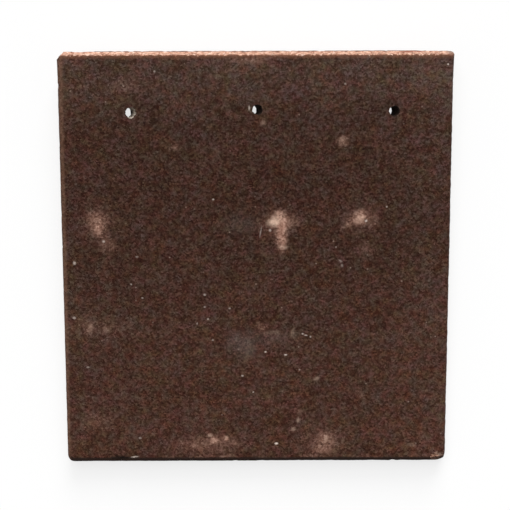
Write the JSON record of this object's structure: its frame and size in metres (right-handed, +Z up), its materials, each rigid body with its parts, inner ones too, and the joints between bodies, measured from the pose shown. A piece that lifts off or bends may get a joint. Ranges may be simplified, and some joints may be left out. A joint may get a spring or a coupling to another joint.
{
  "type": "concrete plain roof tile",
  "caption": "Flat concrete plain roof tile, tile-and-a-half width, with nail holes near its head and a hanging nib along the underside; brown granular face, bare pink head end.",
  "frame": {"origin": "on the floor, under the middle of the tile's box as it lies face up on its nib and tail", "axes": "+X across the tile to its right as seen with the head up, +Y towards the head, +Z up, out of the weather face"},
  "size_m": [0.248, 0.2672, 0.0229],
  "materials": {
    "concrete": "rough granular brown concrete face, bare pinkish concrete on the cut ends"
  },
  "bodies": {
    "root": {"roof_tile": "concrete"}
  },
  "joints": []
}
